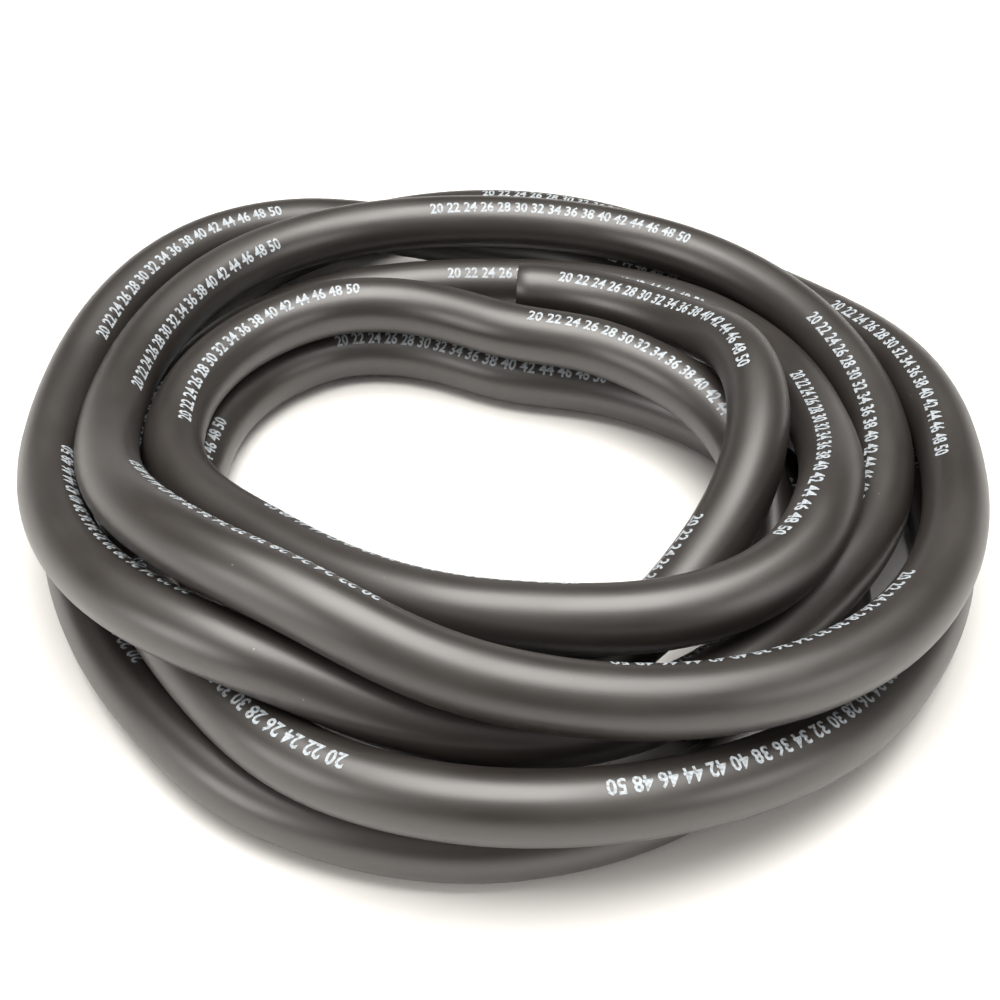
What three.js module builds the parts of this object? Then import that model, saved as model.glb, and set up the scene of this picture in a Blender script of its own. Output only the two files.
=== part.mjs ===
// A loose coil of rubber fuel and oil hose, lying on the floor.
//
// The hose is one piece: a thick rubber tube with an open bore, cut square at both ends.
// It runs clockwise, seen from above, through almost six and a half laps that climb over and
// dive under each other. Lengths are in millimetres, +Z is up, and the coil rests on z = 0.

import * as THREE from 'three';

// Section of the hose.
const OUTER_DIAMETER = 25;
const BORE = 16;
const OUTER_SIDES = 16;
const BORE_SIDES = 10;

// The coil. Lanes and levels count hose diameters outward and upward.
const INNERMOST_RADIUS = 70;
const TURN_CLEARANCE = 0.9;

// One row for each lap, from the back of the coil, at every eighth of a turn:
// back, back right, right, front right, front, front left, left, back left.
const BEARINGS_PER_LAP = 8;
const LAPS = [
  // The first cut end lies on the laps beside the eye, and its lap dips under the front ones.
  { lanes: [1.3, 1.25, 1.3, 1.65, 2.8, 2.7, 2.9, 2.0], levels: [1.0, 1.15, 1.75, 1.3, 0.85, 0.4, 0, 0] },
  // On the floor: innermost at the back, outermost at the front.
  { lanes: [0.05, 0.35, 1.8, 3.9, 4.7, 4.05, 3.9, 4.9], levels: [0, 0, 0, 0, 0, 0, 0, 0] },
  // Outermost at the back and right, then up to the top of the front.
  { lanes: [5.6, 4.35, 4.3, 4.65, 3.9, 3.55, 3.65, 3.9], levels: [0, 0.25, 0.95, 1.6, 2.0, 2.35, 1.2, 1.2] },
  // Top of the back, under the top lap at the front right, then outermost on the left.
  { lanes: [3.6, 3.6, 3.5, 3.2, 3.85, 4.2, 4.35, 5.1], levels: [1.05, 1.0, 0.95, 0.8, 1.0, 1.6, 1.0, 1.0] },
  // Low on the outside, one level up at the front.
  { lanes: [4.2, 3.4, 4.45, 4.5, 4.75, 3.8, 3.3, 3.2], levels: [0, 0, 0, 0.15, 1.0, 0.75, 0.15, 0.2] },
  // Middle of the right side, then the top of the front beside the eye.
  { lanes: [2.5, 2.75, 2.55, 3.15, 2.35, 1.9, 2.65, 1.9], levels: [0.3, 0.5, 1.1, 1.6, 1.85, 1.5, 1.0, 1.0] },
  // Over the floor lap at the back, then under the first lap, where the hose ends.
  { lanes: [0.0, 0.15, 1.2, 2.6, 3.4], levels: [1.0, 1.0, 0.8, 0, 0] },
];

// The two cut ends, as bearings in degrees clockwise from the back of the first lap.
const START_BEARING = 5;
const END_BEARING = 2315;

// Spacing of the route's points, and how many of them each section of the mesh skips.
const BEARING_STEP = 5;
const POINTS_PER_SECTION = 3;

// Settling: laps closer than one diameter and the clearance push each other apart.
const SETTLING_ROUNDS = 160;
const PUSH_SHARE = 0.5;
const EASING = 0.3;
const OTHER_LAP_DEGREES = 120;
const REACH_ALONG = 0.6;

// A value read between the listed ones, on a smooth curve through them.
function smoothBetween(values, position) {
  const index = Math.min(Math.floor(position), values.length - 2);
  const u = position - index;
  const from = values[index];
  const to = values[index + 1];
  const before = index > 0 ? values[index - 1] : 2 * from - to;
  const after = index + 2 < values.length ? values[index + 2] : 2 * to - from;
  const linear = to - before;
  const square = 2 * before - 5 * from + 4 * to - after;
  const cube = 3 * from - 3 * to + after - before;
  return from + 0.5 * u * (linear + u * (square + u * cube));
}

// The laid route, before the laps touch: one point at every bearing step.
function laidRoute() {
  const lanes = LAPS.flatMap((lap) => lap.lanes);
  const levels = LAPS.flatMap((lap) => lap.levels);
  const points = [];
  for (let bearing = START_BEARING; bearing <= END_BEARING; bearing += BEARING_STEP) {
    const position = (bearing * BEARINGS_PER_LAP) / 360;
    const radius = INNERMOST_RADIUS + OUTER_DIAMETER * smoothBetween(lanes, position);
    const level = Math.max(0, smoothBetween(levels, position));
    const angle = THREE.MathUtils.degToRad(bearing);
    const height = OUTER_DIAMETER * (0.5 + level);
    points.push(new THREE.Vector3(radius * Math.sin(angle), radius * Math.cos(angle), height));
  }
  return points;
}

// The way along the route at each point: from the point before it to the one after it.
function directions(points) {
  return points.map((point, i) => {
    const next = points[Math.min(i + 1, points.length - 1)];
    const last = points[Math.max(i - 1, 0)];
    return next.clone().sub(last);
  });
}

// How far a point is pushed by the other laps that it lies too close to.
function pushOn(i, points, tangents, reaches) {
  const apart = OTHER_LAP_DEGREES / BEARING_STEP;
  const wanted = OUTER_DIAMETER + TURN_CLEARANCE;
  const push = new THREE.Vector3();
  const gap = new THREE.Vector3();
  let touching = 0;
  for (let j = 0; j < points.length; j += 1) {
    if (Math.abs(i - j) <= apart) continue;
    gap.subVectors(points[i], points[j]);
    const along = gap.dot(tangents[j]);
    if (Math.abs(along) >= reaches[j]) continue;
    gap.addScaledVector(tangents[j], -along);
    const distance = gap.length();
    if (distance >= wanted || distance === 0) continue;
    push.addScaledVector(gap, (wanted - distance) / distance);
    touching += 1;
  }
  return touching > 0 ? push.multiplyScalar(PUSH_SHARE / touching) : push;
}

// Laps that overlap move apart a little each round, and each move is eased along the hose.
function settledRoute() {
  const laid = laidRoute();
  const moves = laid.map(() => new THREE.Vector3());
  for (let round = 0; round < SETTLING_ROUNDS; round += 1) {
    const points = laid.map((point, i) => point.clone().add(moves[i]));
    const tangents = directions(points);
    const reaches = tangents.map((tangent, i) => {
      const inside = i > 0 && i < points.length - 1;
      return (REACH_ALONG * tangent.length()) / (inside ? 2 : 1);
    });
    tangents.forEach((tangent) => tangent.normalize());
    const pushed = moves.map((move, i) => pushOn(i, points, tangents, reaches).add(move));
    moves.forEach((move, i) => {
      const last = pushed[Math.max(i - 1, 0)];
      const next = pushed[Math.min(i + 1, pushed.length - 1)];
      const between = last.clone().add(next).multiplyScalar(0.5);
      const inside = i > 0 && i < pushed.length - 1;
      move.copy(pushed[i]).lerp(between, inside ? EASING / 2 : 0);
      move.z = Math.max(move.z, OUTER_DIAMETER / 2 - laid[i].z);
    });
  }
  return laid.map((point, i) => point.clone().add(moves[i]));
}

// The settled route as a curve, with sections that stay upright, so that the underside is flat.
class HoseRoute extends THREE.Curve {
  constructor(points) {
    super();
    this.points = points;
  }

  getUtoTmapping(u) {
    return u;
  }

  getPoint(t, target = new THREE.Vector3()) {
    const last = this.points.length - 1;
    const index = Math.min(Math.round(t * last * 1e6) / 1e6, last);
    const from = Math.floor(index);
    const to = Math.min(from + 1, last);
    return target.lerpVectors(this.points[from], this.points[to], index - from);
  }

  computeFrenetFrames(sections) {
    const up = new THREE.Vector3(0, 0, 1);
    const tangents = [];
    const normals = [];
    const binormals = [];
    for (let i = 0; i <= sections; i += 1) {
      const before = this.getPoint(Math.max(i - 1, 0) / sections);
      const after = this.getPoint(Math.min(i + 1, sections) / sections);
      const tangent = after.sub(before).normalize();
      const normal = new THREE.Vector3().crossVectors(up, tangent).normalize();
      tangents.push(tangent);
      normals.push(normal);
      binormals.push(new THREE.Vector3().crossVectors(tangent, normal));
    }
    return { tangents, normals, binormals };
  }
}

// A round of flats around a circle, with one flat at the bottom.
function roundOfFlats(target, diameter, sides) {
  const cornerRadius = diameter / 2 / Math.cos(Math.PI / sides);
  for (let i = 0; i < sides; i += 1) {
    const angle = -Math.PI / 2 + ((i + 0.5) * 2 * Math.PI) / sides;
    const x = cornerRadius * Math.cos(angle);
    const y = cornerRadius * Math.sin(angle);
    if (i === 0) target.moveTo(x, y);
    else target.lineTo(x, y);
  }
  target.closePath();
  return target;
}

// The origin is the middle of the coil's outline, on the floor.
function centreOnFloor(geometry) {
  geometry.computeBoundingBox();
  const middle = geometry.boundingBox.getCenter(new THREE.Vector3());
  geometry.translate(-middle.x, -middle.y, 0);
}

function hose() {
  const section = roundOfFlats(new THREE.Shape(), OUTER_DIAMETER, OUTER_SIDES);
  section.holes.push(roundOfFlats(new THREE.Path(), BORE, BORE_SIDES));
  const route = settledRoute();
  const sections = Math.floor((route.length - 1) / POINTS_PER_SECTION);
  route.length = sections * POINTS_PER_SECTION + 1;
  const geometry = new THREE.ExtrudeGeometry(section, {
    steps: sections,
    extrudePath: new HoseRoute(route),
  });
  centreOnFloor(geometry);
  const rubber = new THREE.MeshStandardMaterial({ color: 0x2b2a29, roughness: 0.55, metalness: 0 });
  const mesh = new THREE.Mesh(geometry, rubber);
  mesh.name = 'hose';
  return mesh;
}

const coil = new THREE.Group();
coil.add(hose());

export default coil;
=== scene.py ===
# %% [markdown]
# # A loose coil of fuel hose
#
# The subject is about six metres of rubber fuel and oil hose, laid down in six and a half laps.
# Nothing else is on it: no clip, no tie, no fitting. So the whole lesson is about one long shape,
# how it lies, what its cover looks like close up, and the white figures printed along it.
#
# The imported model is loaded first, as a fixed frame. Everything made here sits inside its box.

import math

import bmesh
import bpy
import numpy as np
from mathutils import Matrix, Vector


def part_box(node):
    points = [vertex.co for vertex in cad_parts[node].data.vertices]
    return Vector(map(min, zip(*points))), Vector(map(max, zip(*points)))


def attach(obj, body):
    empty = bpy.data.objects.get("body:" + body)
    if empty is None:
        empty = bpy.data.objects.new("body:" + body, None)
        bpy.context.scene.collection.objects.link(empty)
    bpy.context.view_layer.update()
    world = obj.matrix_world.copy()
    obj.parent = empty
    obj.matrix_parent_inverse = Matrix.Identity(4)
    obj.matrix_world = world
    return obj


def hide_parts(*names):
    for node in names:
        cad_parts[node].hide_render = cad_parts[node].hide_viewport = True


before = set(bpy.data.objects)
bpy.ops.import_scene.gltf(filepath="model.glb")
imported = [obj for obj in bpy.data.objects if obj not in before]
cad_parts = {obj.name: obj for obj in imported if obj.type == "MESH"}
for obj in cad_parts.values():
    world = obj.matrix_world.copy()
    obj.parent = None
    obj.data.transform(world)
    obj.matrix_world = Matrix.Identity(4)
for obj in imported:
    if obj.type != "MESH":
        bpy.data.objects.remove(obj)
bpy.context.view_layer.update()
hose_low, hose_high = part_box("hose")
print("the packed hose is", [round(v * 1000) for v in hose_high - hose_low], "mm")

# %% [markdown]
# ## Sizes
#
# Fuel hose is sold by its bore and its outside diameter. This one has a 16 mm bore and is 25 mm
# across outside. Blender works in metres, so one name turns millimetres into metres.

# %% Sizes of the hose
MM = 0.001
OUTER_DIAMETER = 25 * MM
BORE = 16 * MM
OUTER_RADIUS = OUTER_DIAMETER / 2
BORE_RADIUS = BORE / 2

# %% [markdown]
# ## How the hose lies
#
# A real hose has no exact plan. It was dropped in a coil, and its laps climb over each other. They
# could be drawn as one long hand-made curve, but that has hundreds of places to get wrong.
# Instead each lap gets eight stations, one at every eighth of a turn. A station says in which lane
# the hose lies, counted in hose diameters outward from the eye, and on which level, counted in
# diameters above the floor. A smooth curve through the stations is the laid route.

# %% The laps, by lane and level
INNERMOST_RADIUS = 70 * MM
TURN_CLEARANCE = 0.9 * MM
BEARINGS_PER_LAP = 8
START_BEARING = 5
END_BEARING = 2315
BEARING_STEP = 5

# back, back right, right, front right, front, front left, left, back left
LANES = [
    [1.3, 1.25, 1.3, 1.65, 2.8, 2.7, 2.9, 2.0],
    [0.05, 0.35, 1.8, 3.9, 4.7, 4.05, 3.9, 4.9],
    [5.6, 4.35, 4.3, 4.65, 3.9, 3.55, 3.65, 3.9],
    [3.6, 3.6, 3.5, 3.2, 3.85, 4.2, 4.35, 5.1],
    [4.2, 3.4, 4.45, 4.5, 4.75, 3.8, 3.3, 3.2],
    [2.5, 2.75, 2.55, 3.15, 2.35, 1.9, 2.65, 1.9],
    [0.0, 0.15, 1.2, 2.6, 3.4],
]
LEVELS = [
    [1.0, 1.15, 1.75, 1.3, 0.85, 0.4, 0, 0],
    [0, 0, 0, 0, 0, 0, 0, 0],
    [0, 0.25, 0.95, 1.6, 2.0, 2.35, 1.2, 1.2],
    [1.05, 1.0, 0.95, 0.8, 1.0, 1.6, 1.0, 1.0],
    [0, 0, 0, 0.15, 1.0, 0.75, 0.15, 0.2],
    [0.3, 0.5, 1.1, 1.6, 1.85, 1.5, 1.0, 1.0],
    [1.0, 1.0, 0.8, 0, 0],
]


def smooth_between(stations, bearings):
    """Values at the bearings, on a smooth curve through all the laps' stations."""
    values = np.array([value for lap in stations for value in lap], float)
    first, last = 2 * values[0] - values[1], 2 * values[-1] - values[-2]
    values = np.concatenate([[first], values, [last]])
    place = bearings * BEARINGS_PER_LAP / 360
    index = np.minimum(np.floor(place).astype(int), len(values) - 4)
    u = place - index
    before, start, end, after = (values[index + k] for k in range(4))
    square = 2 * before - 5 * start + 4 * end - after
    cube = 3 * start - 3 * end + after - before
    return start + 0.5 * u * (end - before + u * (square + u * cube))


bearings = np.arange(START_BEARING, END_BEARING + 1, BEARING_STEP)
radii = INNERMOST_RADIUS + OUTER_DIAMETER * smooth_between(LANES, bearings)
heights = OUTER_DIAMETER * (0.5 + np.maximum(0, smooth_between(LEVELS, bearings)))
turned = np.radians(bearings)
laid = np.stack([radii * np.sin(turned), radii * np.cos(turned), heights], axis=1)
print("stations:", sum(len(lap) for lap in LANES), "route points:", len(laid))

# %% [markdown]
# The laid route still runs through itself where a lane was guessed a little too narrow. Real
# rubber can't do that, it pushes its neighbour aside. A rigid body or cloth simulation would
# settle it too, but it would also lose the place of every lap. A gentle relaxation keeps them:
# each point that is too near another lap is pushed off it, and the pushes are eased along the
# hose so that it never kinks.

# %% Let the laps settle against each other
SETTLING_ROUNDS = 160
PUSH_SHARE = 0.5
EASING = 0.3
OTHER_LAP_DEGREES = 120
REACH_ALONG = 0.6


def settle(route):
    """The route with its laps one diameter and the clearance apart."""
    moves = np.zeros_like(route)
    other_lap = np.abs(bearings[:, None] - bearings[None]) > OTHER_LAP_DEGREES
    wanted = OUTER_DIAMETER + TURN_CLEARANCE
    for _ in range(SETTLING_ROUNDS):
        points = route + moves
        tangents = np.gradient(points, axis=0)
        lengths = np.linalg.norm(tangents, axis=1)
        tangents /= lengths[:, None]
        gaps = points[:, None] - points[None]
        along = np.einsum("ijk,jk->ij", gaps, tangents)
        gaps -= along[..., None] * tangents[None]
        distances = np.linalg.norm(gaps, axis=2)
        touching = other_lap & (np.abs(along) < REACH_ALONG * lengths) & (distances < wanted)
        push = np.where(touching, (wanted - distances) / np.maximum(distances, 1e-9), 0)
        shares = np.maximum(touching.sum(axis=1), 1)[:, None]
        moves += PUSH_SHARE * (gaps * push[..., None]).sum(axis=1) / shares
        moves[1:-1] += EASING / 2 * ((moves[:-2] + moves[2:]) / 2 - moves[1:-1])
        moves[:, 2] = np.maximum(moves[:, 2], OUTER_RADIUS - route[:, 2])
    return route + moves


settled = settle(laid)
shift = np.array([*(hose_low + hose_high).xy / 2, 0])
shift[:2] -= (settled.min(axis=0) + settled.max(axis=0))[:2] / 2
settled += shift
moved = np.linalg.norm(settled - laid - shift, axis=1)
print("settling moved the hose by", round(moved.mean() / MM, 1), "mm on average")

# %% [markdown]
# ## The camera
#
# The camera stands in front of the coil and looks down at it by 42 degrees, from six tenths of a
# metre. It is placed first, because every choice of detail after it depends on how large things
# look from there: one millimetre of hose is two to three pixels wide.

# %% Camera
VIEW_DOWN_DEGREES = 42
VIEW_DISTANCE = 595 * MM
VIEW_TARGET = Vector(shift) + Vector((0, -36, 30)) * MM
FOCAL_IN_IMAGE_WIDTHS = 1.485
SENSOR_WIDTH = 36


def add_object(name, data):
    made = bpy.data.objects.new(name, data)
    bpy.context.scene.collection.objects.link(made)
    return made


camera = add_object("camera", bpy.data.cameras.new("camera"))
camera.data.sensor_width = SENSOR_WIDTH
camera.data.lens = FOCAL_IN_IMAGE_WIDTHS * SENSOR_WIDTH
down = math.radians(VIEW_DOWN_DEGREES)
camera.location = VIEW_TARGET + VIEW_DISTANCE * Vector((0, -math.cos(down), math.sin(down)))
camera.rotation_euler = (math.pi / 2 - down, 0, 0)
bpy.context.scene.camera = camera
print("lens", round(camera.data.lens, 1), "mm, camera height", round(camera.location.z, 3), "m")

# %% [markdown]
# ## The route as a curve
#
# The points every five degrees are fine for settling, but too coarse for a smooth hose. They
# become a curve with a point every few millimetres. Each point also has a tilt, the roll of the
# hose about its own line. The printed line runs straight along the hose as it is made, so the
# roll alone decides where on each lap the printing shows. It is given at the same stations as the
# lanes, in degrees from the top of the hose towards the eye.

# %% Route with its roll
POINTS_PER_STEP = 4
PRINT_ROLLS = [
    [20, 20, 30, 40, 40, 40, 30, 30],
    [30, 30, 30, 30, 20, 20, 10, 0],
    [0, 10, 30, 40, 42, 40, 50, 45],
    [25, 25, 30, 40, 40, 40, 45, 28],
    [15, 20, 20, 0, -10, 0, 10, 20],
    [30, 30, 20, 30, 45, 40, 30, 20],
    [12, 12, 20, 20, 20],
]


def smooth_line(points, steps):
    """The points with steps - 1 more between each two, on a smooth curve through them."""
    ends = np.concatenate([[2 * points[0] - points[1]], points, [2 * points[-1] - points[-2]]])
    before, start, end, after = ends[:-3], ends[1:-2], ends[2:-1], ends[3:]
    fine = []
    for k in range(steps):
        u = k / steps
        square = 2 * before - 5 * start + 4 * end - after
        cube = 3 * start - 3 * end + after - before
        fine.append(start + 0.5 * u * (end - before + u * (square + u * cube)))
    return np.concatenate([np.stack(fine, axis=1).reshape(-1, 3), points[-1:]])


centreline = smooth_line(settled, POINTS_PER_STEP)
hose_length = float(np.linalg.norm(np.diff(centreline, axis=0), axis=1).sum())
rolls = np.radians(smooth_between(PRINT_ROLLS, np.linspace(START_BEARING, END_BEARING, len(centreline))))

route_data = bpy.data.curves.new("route", "CURVE")
route_data.dimensions = "3D"
route_data.twist_mode = "Z_UP"
spline = route_data.splines.new("POLY")
spline.points.add(len(centreline) - 1)
for point, place, roll in zip(spline.points, centreline, rolls):
    point.co = (*place, 1)
    point.tilt = roll
route = add_object("route", route_data)
route.hide_render = True
print("hose length", round(hose_length, 3), "m over", len(centreline), "points")

# %% [markdown]
# ## The hose, straight first
#
# Hose is usually made straight, and it is printed before it is ever coiled. The model is made in
# the same order. A curve with a round bevel would be quicker, but it has no bore,
# no cut ends and no room for a print. So the straight hose is a turned shape: a closed profile of
# cover, cut face and liner, spun about the hose's line. While it is straight, it is easy to give it
# a flat unwrapped map in real metres: u runs along the hose and v runs around it.

# %% Straight hose
COVER_RINGS_APART = 6 * MM
LINER_RINGS_APART = 12 * MM
SIDES = 40
BROKEN_EDGE = 0.4 * MM
BRAID_RADIUS = 10.4 * MM
BRAID_HALF_WIDTH = 0.4 * MM
COVER, CUT, LINER, BRAID = 0, 1, 2, 3


def hose_profile(length):
    """Points (x, radius) once around the wall of the hose, and the surface that starts at each."""
    cover_steps = round(length / COVER_RINGS_APART)
    liner_steps = round(length / LINER_RINGS_APART)
    edge = BROKEN_EDGE
    cover = [(x, OUTER_RADIUS, COVER) for x in np.linspace(edge, length - edge, cover_steps)]
    liner = [(x, BORE_RADIUS, LINER) for x in np.linspace(length - edge, edge, liner_steps)]
    outside, inside = OUTER_RADIUS - edge, BORE_RADIUS + edge
    braid_out, braid_in = BRAID_RADIUS + BRAID_HALF_WIDTH, BRAID_RADIUS - BRAID_HALF_WIDTH
    far_cut = [(length, outside, CUT), (length, braid_out, BRAID), (length, braid_in, CUT),
               (length, inside, CUT)]
    near_cut = [(0, inside, CUT), (0, braid_in, BRAID), (0, braid_out, CUT), (0, outside, CUT)]
    return cover + far_cut + liner + near_cut


def turned_mesh(name, profile):
    """A closed mesh of the profile spun about X, with a map in metres and a surface number."""
    count = len(profile)
    angles = np.arange(SIDES) * 2 * math.pi / SIDES
    x, radius, surface = (np.array(column) for column in zip(*profile))
    places = np.stack([
        np.repeat(x, SIDES),
        (radius[:, None] * np.sin(angles)).ravel(),
        (radius[:, None] * np.cos(angles)).ravel(),
    ], axis=1)
    ring, side = (index.ravel() for index in np.indices((count, SIDES)))
    next_ring, next_side = (ring + 1) % count, (side + 1) % SIDES
    corners = [(ring, side), (ring, next_side), (next_ring, next_side), (next_ring, side)]
    mesh = bpy.data.meshes.new(name)
    mesh.from_pydata(places.tolist(), [], np.stack([r * SIDES + s for r, s in corners], axis=1).tolist())

    run = np.concatenate([[0], np.cumsum(np.hypot(np.diff(x), np.diff(radius)))])
    closing = math.hypot(x[0] - x[-1], radius[0] - radius[-1])
    u_start, u_end = run[ring], np.append(run[1:], run[-1] + closing)[ring]
    v_start = side * 2 * math.pi * OUTER_RADIUS / SIDES
    v_end = v_start + 2 * math.pi * OUTER_RADIUS / SIDES
    u = np.stack([u_start, u_start, u_end, u_end], axis=1)
    v = np.stack([v_start, v_end, v_end, v_start], axis=1)
    flat_map = mesh.uv_layers.new(name="hose_map")
    flat_map.data.foreach_set("uv", np.stack([u, v], axis=2).ravel())
    kinds = mesh.attributes.new("surface", "INT", "FACE")
    kinds.data.foreach_set("value", surface[ring].astype(np.int32))
    mesh.validate()
    return mesh


straight_hose = turned_mesh("straight_hose", hose_profile(hose_length))
print("straight hose:", len(straight_hose.vertices), "vertices,", len(straight_hose.polygons), "faces")

# %% [markdown]
# ## Rubber, ink and braid
#
# One small function adds a node with its settings and links to a tree. All materials, and the
# trees that lay the hose, are written with it.

# %% Adding a node
def srgb(hex_colour):
    """A linear colour from sRGB hex, as Blender's sockets want it."""
    channels = [int(hex_colour[k:k + 2], 16) / 255 for k in (1, 3, 5)]
    linear = [c / 12.92 if c <= 0.04045 else ((c + 0.055) / 1.055) ** 2.4 for c in channels]
    return (*linear, 1)


def add(tree, kind, inputs=None, **settings):
    """A new node with its settings. Each input is a value, or another node's output socket."""
    made = tree.nodes.new(kind)
    for name, value in settings.items():
        setattr(made, name, value)
    for key, value in (inputs or {}).items():
        if isinstance(value, bpy.types.NodeSocket):
            tree.links.new(value, made.inputs[key])
        else:
            made.inputs[key].default_value = value
    return made


def new_material(name):
    """An empty node material and its tree."""
    material = bpy.data.materials.new(name)
    material.use_nodes = True
    material.node_tree.nodes.clear()
    return material, material.node_tree


# %% [markdown]
# The cover is taken to be nitrile rubber, extruded and then cured. That leaves a satin skin,
# neither glossy nor dull, in a warm dark grey. Close up it has three kinds of detail: faint lines drawn
# lengthwise by the die, a fine pebbled grain, and a few pale specks of dust. All three read the
# hose's own map, so they follow it around every bend.

# %% Cover rubber
RUBBER_IOR = 1.52
COVER_SHEEN = 0.95
DIE_LINE_WIDTH = 0.9 * MM
DIE_LINE_LENGTH = 60 * MM
GRAIN = 0.45 * MM
CLOUD = 45 * MM
DUST_SPACING = 16 * MM
DUST_FULL, DUST_GONE = 0.012, 0.03  # distance from a speck's middle, in spacings
DUST_STRENGTH = 0.5
SMOOTHEST, ROUGHEST = 0.34, 0.44
DIE_LINE_DEPTH = 0.05 * MM
GRAIN_DEPTH = 0.03 * MM


def cover_rubber():
    material, tree = new_material("cured_nitrile_rubber_cover")
    hose_map = add(tree, "ShaderNodeUVMap", uv_map="hose_map").outputs["UV"]

    def stretched(along, around):
        scale = (1 / along, 1 / around, 1)
        return add(tree, "ShaderNodeMapping", {"Vector": hose_map, "Scale": scale}).outputs["Vector"]

    clouds = add(tree, "ShaderNodeTexNoise", {
        "Vector": stretched(CLOUD, CLOUD / 3), "Scale": 1, "Detail": 4, "Roughness": 0.55})
    die_lines = add(tree, "ShaderNodeTexNoise", {
        "Vector": stretched(DIE_LINE_LENGTH, DIE_LINE_WIDTH), "Scale": 1, "Detail": 3})
    grain = add(tree, "ShaderNodeTexNoise", {
        "Vector": stretched(GRAIN, GRAIN), "Scale": 1, "Detail": 2, "Roughness": 0.6})
    dust = add(tree, "ShaderNodeTexVoronoi", {
        "Vector": stretched(DUST_SPACING, DUST_SPACING), "Scale": 1})
    speck = add(tree, "ShaderNodeMapRange", {
        "Value": dust.outputs["Distance"], "From Min": DUST_FULL, "From Max": DUST_GONE,
        "To Min": DUST_STRENGTH, "To Max": 0})

    shade = add(tree, "ShaderNodeValToRGB", {"Fac": clouds.outputs["Fac"]})
    shade.color_ramp.elements[0].position = 0.3
    shade.color_ramp.elements[0].color = srgb("#272320")
    shade.color_ramp.elements[1].position = 0.72
    shade.color_ramp.elements[1].color = srgb("#302c29")
    dusty = add(tree, "ShaderNodeMix", {
        "Factor": speck.outputs["Result"], "A": shade.outputs["Color"], "B": srgb("#8f8a80")},
        data_type="RGBA")
    roughness = add(tree, "ShaderNodeMapRange", {
        "Value": clouds.outputs["Fac"], "From Min": 0.3, "From Max": 0.7,
        "To Min": SMOOTHEST, "To Max": ROUGHEST})
    lines = add(tree, "ShaderNodeBump", {
        "Height": die_lines.outputs["Fac"], "Strength": 0.25, "Distance": DIE_LINE_DEPTH})
    pebbles = add(tree, "ShaderNodeBump", {
        "Height": grain.outputs["Fac"], "Normal": lines.outputs["Normal"],
        "Strength": 0.35, "Distance": GRAIN_DEPTH})
    rubber = add(tree, "ShaderNodeBsdfPrincipled", {
        "Base Color": dusty.outputs["Result"], "Roughness": roughness.outputs["Result"],
        "Normal": pebbles.outputs["Normal"], "IOR": RUBBER_IOR,
        "Specular IOR Level": COVER_SHEEN})
    add(tree, "ShaderNodeOutputMaterial", {"Surface": rubber.outputs["BSDF"]})
    return material


# %% [markdown]
# The two cut ends show the wall: black rubber inside and out, with a ring of braided textile
# between, cut through by the knife. The ring could be painted by a mask in the cut face's
# material, but its own narrow ring of faces keeps its edges sharp. The liner in the bore is the
# same rubber, smoother, because it was cured on a polished mandrel.

# %% Cut face, braid and liner
YARN_SPACING = 1.2 * MM
KNIFE_MARKS = 0.8 * MM
LINER_WAVE_LENGTH, LINER_WAVE_WIDTH = 30 * MM, 2 * MM


def cut_wall():
    material, tree = new_material("knife_cut_rubber")
    hose_map = add(tree, "ShaderNodeUVMap", uv_map="hose_map").outputs["UV"]
    marks = add(tree, "ShaderNodeTexNoise", {
        "Vector": add(tree, "ShaderNodeMapping", {
            "Vector": hose_map, "Scale": (1 / KNIFE_MARKS, 1 / KNIFE_MARKS, 1)}).outputs["Vector"],
        "Scale": 1, "Detail": 3})
    shade = add(tree, "ShaderNodeValToRGB", {"Fac": marks.outputs["Fac"]})
    shade.color_ramp.elements[0].color = srgb("#262423")
    shade.color_ramp.elements[1].color = srgb("#3b3836")
    saw = add(tree, "ShaderNodeBump", {
        "Height": marks.outputs["Fac"], "Strength": 0.6, "Distance": 0.2 * MM})
    rubber = add(tree, "ShaderNodeBsdfPrincipled", {
        "Base Color": shade.outputs["Color"], "Roughness": 0.75,
        "Normal": saw.outputs["Normal"], "IOR": RUBBER_IOR})
    add(tree, "ShaderNodeOutputMaterial", {"Surface": rubber.outputs["BSDF"]})
    return material


def cut_braid():
    material, tree = new_material("polyester_braid_yarn_ends")
    hose_map = add(tree, "ShaderNodeUVMap", uv_map="hose_map").outputs["UV"]
    yarns = add(tree, "ShaderNodeTexVoronoi", {
        "Vector": add(tree, "ShaderNodeMapping", {
            "Vector": hose_map, "Scale": (1 / YARN_SPACING, 1 / YARN_SPACING, 1)}).outputs["Vector"],
        "Scale": 1, "Randomness": 0.6})
    shade = add(tree, "ShaderNodeValToRGB", {"Fac": yarns.outputs["Distance"]})
    shade.color_ramp.elements[0].color = srgb("#9b958a")
    shade.color_ramp.elements[1].position = 0.6
    shade.color_ramp.elements[1].color = srgb("#2c2a28")
    fray = add(tree, "ShaderNodeBump", {
        "Height": yarns.outputs["Distance"], "Strength": 0.8, "Distance": 0.3 * MM})
    yarn = add(tree, "ShaderNodeBsdfPrincipled", {
        "Base Color": shade.outputs["Color"], "Roughness": 0.85, "Normal": fray.outputs["Normal"]})
    add(tree, "ShaderNodeOutputMaterial", {"Surface": yarn.outputs["BSDF"]})
    return material


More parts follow.
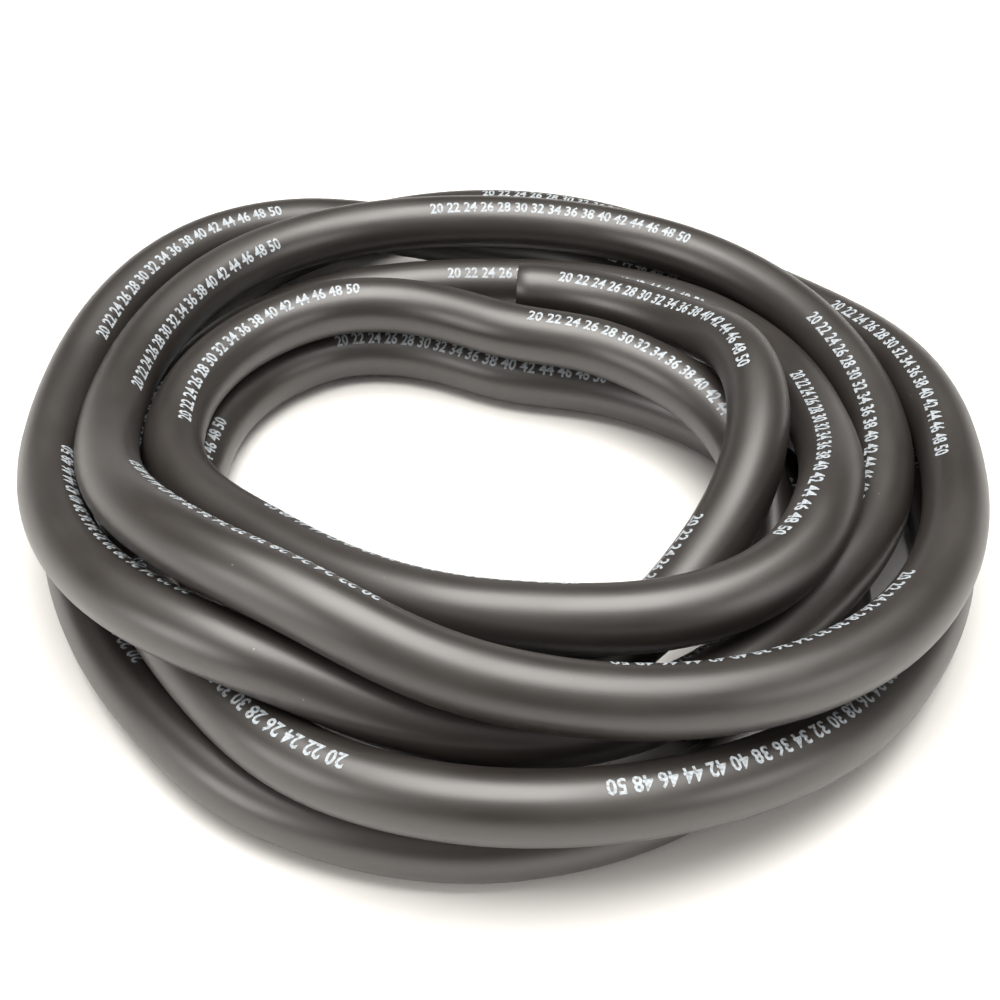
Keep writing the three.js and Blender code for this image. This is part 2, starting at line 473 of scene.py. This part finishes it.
def liner_rubber():
    material, tree = new_material("mandrel_smooth_rubber_liner")
    hose_map = add(tree, "ShaderNodeUVMap", uv_map="hose_map").outputs["UV"]
    waves = add(tree, "ShaderNodeTexNoise", {
        "Vector": add(tree, "ShaderNodeMapping", {
            "Vector": hose_map, "Scale": (1 / LINER_WAVE_LENGTH, 1 / LINER_WAVE_WIDTH, 1)}).outputs["Vector"],
        "Scale": 1, "Detail": 2})
    ripple = add(tree, "ShaderNodeBump", {
        "Height": waves.outputs["Fac"], "Strength": 0.2, "Distance": 0.1 * MM})
    rubber = add(tree, "ShaderNodeBsdfPrincipled", {
        "Base Color": srgb("#222020"), "Roughness": 0.4,
        "Normal": ripple.outputs["Normal"], "IOR": RUBBER_IOR})
    add(tree, "ShaderNodeOutputMaterial", {"Surface": rubber.outputs["BSDF"]})
    return material


# %% [markdown]
# ## Laying the hose along its route
#
# Now the straight hose is bent. The Curve modifier could do it. A small Geometry Nodes tree does
# the same in the open, and it can wrap the print around the hose on the way: each vertex has its
# length x along the hose, and the tree looks up the route at that length and puts the vertex
# beside it, in the route's own rolled cross-section. The same nodes will lay the print.

# %% The laying tree
def lay_on_route(tree, geometry, route_object):
    """Nodes that bend geometry that is straight along X onto the route."""
    curve = add(tree, "GeometryNodeObjectInfo", {"Object": route_object}).outputs["Geometry"]
    place = add(tree, "GeometryNodeInputPosition").outputs["Position"]
    parts = add(tree, "ShaderNodeSeparateXYZ", {"Vector": place}).outputs
    sample = add(tree, "GeometryNodeSampleCurve", {"Curves": curve}, mode="LENGTH")
    tree.links.new(parts["X"], sample.inputs["Length"])
    outputs = sample.outputs
    side = add(tree, "ShaderNodeVectorMath", {0: outputs["Normal"], "Scale": -1}, operation="SCALE")
    top = add(tree, "ShaderNodeVectorMath", {0: outputs["Tangent"], 1: side.outputs[0]},
              operation="CROSS_PRODUCT")
    across = add(tree, "ShaderNodeVectorMath", {0: side.outputs[0], "Scale": parts["Y"]},
                 operation="SCALE")
    above = add(tree, "ShaderNodeVectorMath", {0: top.outputs[0], "Scale": parts["Z"]},
                operation="SCALE")
    offset = add(tree, "ShaderNodeVectorMath", {0: across.outputs[0], 1: above.outputs[0]})
    target = add(tree, "ShaderNodeVectorMath", {0: outputs["Position"], 1: offset.outputs[0]})
    laid_out = add(tree, "GeometryNodeSetPosition", {"Geometry": geometry, "Position": target.outputs[0]})
    return laid_out.outputs["Geometry"]


def new_tree(name, sockets):
    """A Geometry Nodes tree with geometry in and out and the named inputs."""
    tree = bpy.data.node_groups.new(name, "GeometryNodeTree")
    tree.interface.new_socket("Geometry", in_out="OUTPUT", socket_type="NodeSocketGeometry")
    tree.interface.new_socket("Geometry", in_out="INPUT", socket_type="NodeSocketGeometry")
    for socket_name, kind in sockets.items():
        tree.interface.new_socket(socket_name, in_out="INPUT", socket_type=kind)
    return tree


def baked(name, start_mesh, tree, values):
    """The mesh that the tree makes of start_mesh, as a plain object at the origin."""
    work = add_object(name + "_work", start_mesh)
    modifier = work.modifiers.new(tree.name, "NODES")
    modifier.node_group = tree
    for item in tree.interface.items_tree:
        if item.in_out == "INPUT" and item.name in values:
            modifier[item.identifier] = values[item.name]
    depsgraph = bpy.context.evaluated_depsgraph_get()
    mesh = bpy.data.meshes.new_from_object(work.evaluated_get(depsgraph), depsgraph=depsgraph)
    bpy.data.objects.remove(work)
    mesh.name = name
    return add_object(name, mesh)


def hose_tree():
    tree = new_tree("lay_the_hose", {
        "Route": "NodeSocketObject", "Cover": "NodeSocketMaterial",
        "Cut face": "NodeSocketMaterial", "Liner": "NodeSocketMaterial",
        "Braid": "NodeSocketMaterial"})
    given = add(tree, "NodeGroupInput").outputs
    geometry = lay_on_route(tree, given["Geometry"], given["Route"])
    geometry = add(tree, "GeometryNodeRealizeInstances", {"Geometry": geometry}).outputs["Geometry"]
    surface = add(tree, "GeometryNodeInputNamedAttribute", {"Name": "surface"}, data_type="INT")
    surfaces = {COVER: "Cover", CUT: "Cut face", LINER: "Liner", BRAID: "Braid"}
    for number, socket in surfaces.items():
        chosen = add(tree, "FunctionNodeCompare", {2: surface.outputs["Attribute"], 3: number},
                     data_type="INT", operation="EQUAL")
        geometry = add(tree, "GeometryNodeSetMaterial", {
            "Geometry": geometry, "Selection": chosen.outputs["Result"],
            "Material": given[socket]}).outputs["Geometry"]
    add(tree, "NodeGroupOutput", {"Geometry": geometry})
    return tree


cover = cover_rubber()
straight_hose.materials.append(cover)
hose = baked("fuel_hose", straight_hose, hose_tree(), {
    "Route": route, "Cover": cover, "Cut face": cut_wall(), "Liner": liner_rubber(),
    "Braid": cut_braid()})
hose.data.polygons.foreach_set("use_smooth", [True] * len(hose.data.polygons))
print("laid hose:", len(hose.data.polygons), "faces in", [m.name for m in hose.data.materials])

# %% [markdown]
# ## The printed line
#
# White figures are rolled onto the cover in one line that repeats along the whole hose. They are
# thin ink, but painting them in a material would need a picture. Real letters laid on the cover
# stay sharp from any distance. The figures here are a plain scale of even numbers, nothing else.

# %% Print
PRINTED_FIGURES = " ".join(str(number) for number in range(20, 52, 2))
FIGURE_HEIGHT = 5.4 * MM
FIGURE_WIDTH_SHARE = 0.86
FIGURE_BOLDNESS = 0.2 * MM
INK_ABOVE_COVER = 0.06 * MM
PRINT_PERIOD = 215 * MM
PRINT_START = 20 * MM
BEND_LINES = 5
FIGURE_SHARE_OF_SIZE = 0.7  # how much of the font's size a figure's height is
INK_WEAR = 1.2 * MM


def ink():
    material, tree = new_material("white_roller_printing_ink")
    place = add(tree, "ShaderNodeTexCoord").outputs["Object"]
    worn = add(tree, "ShaderNodeTexNoise", {"Vector": place, "Scale": 1 / INK_WEAR, "Detail": 3})
    shade = add(tree, "ShaderNodeValToRGB", {"Fac": worn.outputs["Fac"]})
    shade.color_ramp.elements[0].position = 0.3
    shade.color_ramp.elements[0].color = srgb("#7d8387")
    shade.color_ramp.elements[1].position = 0.55
    shade.color_ramp.elements[1].color = srgb("#b3bbc1")
    paint = add(tree, "ShaderNodeBsdfPrincipled", {
        "Base Color": shade.outputs["Color"], "Roughness": 0.5, "IOR": 1.5})
    add(tree, "ShaderNodeOutputMaterial", {"Surface": paint.outputs["BSDF"]})
    return material


def flat_figures(text, height):
    """The text as a flat mesh in the XY plane, centred on its own height, cut to bend."""
    font = bpy.data.curves.new("figures", "FONT")
    font.body = text
    font.size = height / FIGURE_SHARE_OF_SIZE
    font.offset = FIGURE_BOLDNESS
    font.resolution_u = 2
    font.align_y = "CENTER"
    holder = add_object("figures", font)
    depsgraph = bpy.context.evaluated_depsgraph_get()
    mesh = bpy.data.meshes.new_from_object(holder.evaluated_get(depsgraph))
    bpy.data.objects.remove(holder)
    work = bmesh.new()
    work.from_mesh(mesh)
    for vertex in work.verts:
        vertex.co.x *= FIGURE_WIDTH_SHARE
    for k in range(BEND_LINES):
        level = height * ((k + 0.5) / BEND_LINES - 0.5)
        everything = work.verts[:] + work.edges[:] + work.faces[:]
        bmesh.ops.bisect_plane(work, geom=everything, plane_co=(0, level, 0), plane_no=(0, 1, 0))
    bmesh.ops.triangulate(work, faces=work.faces)
    work.to_mesh(mesh)
    work.free()
    return mesh


def print_tree():
    tree = new_tree("print_along_the_hose", {
        "Route": "NodeSocketObject", "Ink": "NodeSocketMaterial", "Count": "NodeSocketInt",
        "Start": "NodeSocketFloat", "Period": "NodeSocketFloat", "Radius": "NodeSocketFloat"})
    given = add(tree, "NodeGroupInput").outputs
    start = add(tree, "ShaderNodeCombineXYZ", {"X": given["Start"]}).outputs[0]
    step = add(tree, "ShaderNodeCombineXYZ", {"X": given["Period"]}).outputs[0]
    places = add(tree, "GeometryNodeMeshLine", {
        "Count": given["Count"], "Start Location": start, "Offset": step})
    repeated = add(tree, "GeometryNodeInstanceOnPoints", {
        "Points": places.outputs["Mesh"], "Instance": given["Geometry"]})
    flat = add(tree, "GeometryNodeRealizeInstances", {"Geometry": repeated.outputs["Instances"]})
    flat_place = add(tree, "GeometryNodeInputPosition").outputs["Position"]
    parts = add(tree, "ShaderNodeSeparateXYZ", {"Vector": flat_place}).outputs
    angle = add(tree, "ShaderNodeMath", {0: parts["Y"], 1: given["Radius"]}, operation="DIVIDE")
    sine = add(tree, "ShaderNodeMath", {0: angle.outputs[0]}, operation="SINE")
    cosine = add(tree, "ShaderNodeMath", {0: angle.outputs[0]}, operation="COSINE")
    y = add(tree, "ShaderNodeMath", {0: sine.outputs[0], 1: given["Radius"]}, operation="MULTIPLY")
    z = add(tree, "ShaderNodeMath", {0: cosine.outputs[0], 1: given["Radius"]}, operation="MULTIPLY")
    around = add(tree, "ShaderNodeCombineXYZ", {
        "X": parts["X"], "Y": y.outputs[0], "Z": z.outputs[0]})
    wrapped = add(tree, "GeometryNodeSetPosition", {
        "Geometry": flat.outputs["Geometry"], "Position": around.outputs[0]})
    geometry = lay_on_route(tree, wrapped.outputs["Geometry"], given["Route"])
    geometry = add(tree, "GeometryNodeRealizeInstances", {"Geometry": geometry}).outputs["Geometry"]
    geometry = add(tree, "GeometryNodeSetMaterial", {
        "Geometry": geometry, "Material": given["Ink"]}).outputs["Geometry"]
    add(tree, "NodeGroupOutput", {"Geometry": geometry})
    return tree


figures = flat_figures(PRINTED_FIGURES, FIGURE_HEIGHT)
figures_length = max(v.co.x for v in figures.vertices)
blocks = int((hose_length - PRINT_START - figures_length) / PRINT_PERIOD) + 1
printed_line = baked("printed_figures", figures, print_tree(), {
    "Route": route, "Ink": ink(), "Count": blocks, "Start": PRINT_START,
    "Period": PRINT_PERIOD, "Radius": OUTER_RADIUS + INK_ABOVE_COVER})
print("print:", blocks, "blocks of", round(figures_length / MM), "mm,",
      len(printed_line.data.polygons), "faces")

# %% [markdown]
# ## Floor and light
#
# Satin dark rubber shows its form only by what it reflects, so the room is built around that. One
# large soft light straight above gives each lap its broad pale band. A white floor lifts the
# undersides. Between the two the room is dark, and that gives the dark band in the middle of each
# lap. An even white room would be simpler, but the rubber would look like flat grey plastic. Two
# small soft lights at the sides open up the left and right of the coil.

# %% Stage
def pale_floor():
    material, tree = new_material("matt_white_studio_floor")
    board = add(tree, "ShaderNodeBsdfPrincipled", {
        "Base Color": srgb("#f4f3f1"), "Roughness": 0.9})
    add(tree, "ShaderNodeOutputMaterial", {"Surface": board.outputs["BSDF"]})
    return material


FLOOR_SIZE = 2.8
FLOOR_DROP = 0.5 * MM
floor_mesh = bpy.data.meshes.new("floor")
half = FLOOR_SIZE / 2
floor_mesh.from_pydata([(-half, -half, 0), (half, -half, 0), (half, half, 0), (-half, half, 0)],
                       [], [(0, 1, 2, 3)])
floor_mesh.materials.append(pale_floor())
floor = add_object("floor", floor_mesh)
floor.location.z = -FLOOR_DROP


WARM_WHITE = "#fffcf8"


def soft_light(name, place, aim, width, height, power):
    """A rectangular soft light at a place, turned to face its aim."""
    light = bpy.data.lights.new(name, "AREA")
    light.shape = "RECTANGLE"
    light.size, light.size_y = width, height
    light.energy = power
    light.color = srgb(WARM_WHITE)[:3]
    made = add_object(name, light)
    made.location = place
    made.rotation_euler = (Vector(aim) - Vector(place)).to_track_quat("-Z", "Y").to_euler()
    return made


soft_light("overhead_softbox", (0, 0.05, 1.5), (0, 0, 0), 1.5, 1.3, 42)
soft_light("left_softbox", (-1.5, -0.9, 0.7), (0, 0, 0), 0.9, 0.7, 11)
soft_light("right_softbox", (1.5, -0.9, 0.7), (0, 0, 0), 0.9, 0.7, 6)

# How bright the room is at each height, from the horizon (0) to straight up (1).
ROOM_SHADES = [(0.05, "#f6f4f2"), (0.16, "#565350"), (0.5, "#565350"), (0.8, "#c2beba")]

world = bpy.data.worlds.new("studio")
world.use_nodes = True
room = world.node_tree
direction = add(room, "ShaderNodeTexCoord").outputs["Generated"]
upward = add(room, "ShaderNodeSeparateXYZ", {"Vector": direction}).outputs["Z"]
shades = add(room, "ShaderNodeValToRGB", {"Fac": upward})
shades.color_ramp.elements.new(0.3)
shades.color_ramp.elements.new(0.6)
for element, (height, shade) in zip(shades.color_ramp.elements, ROOM_SHADES):
    element.position = height
    element.color = srgb(shade)
room.links.new(shades.outputs["Color"], room.nodes["Background"].inputs["Color"])
bpy.context.scene.world = world
bpy.context.scene.view_settings.view_transform = "Standard"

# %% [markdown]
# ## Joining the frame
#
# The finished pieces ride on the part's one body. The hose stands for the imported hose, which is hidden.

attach(hose, "root")
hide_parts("hose")
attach(printed_line, "root")
bpy.data.objects.remove(route)
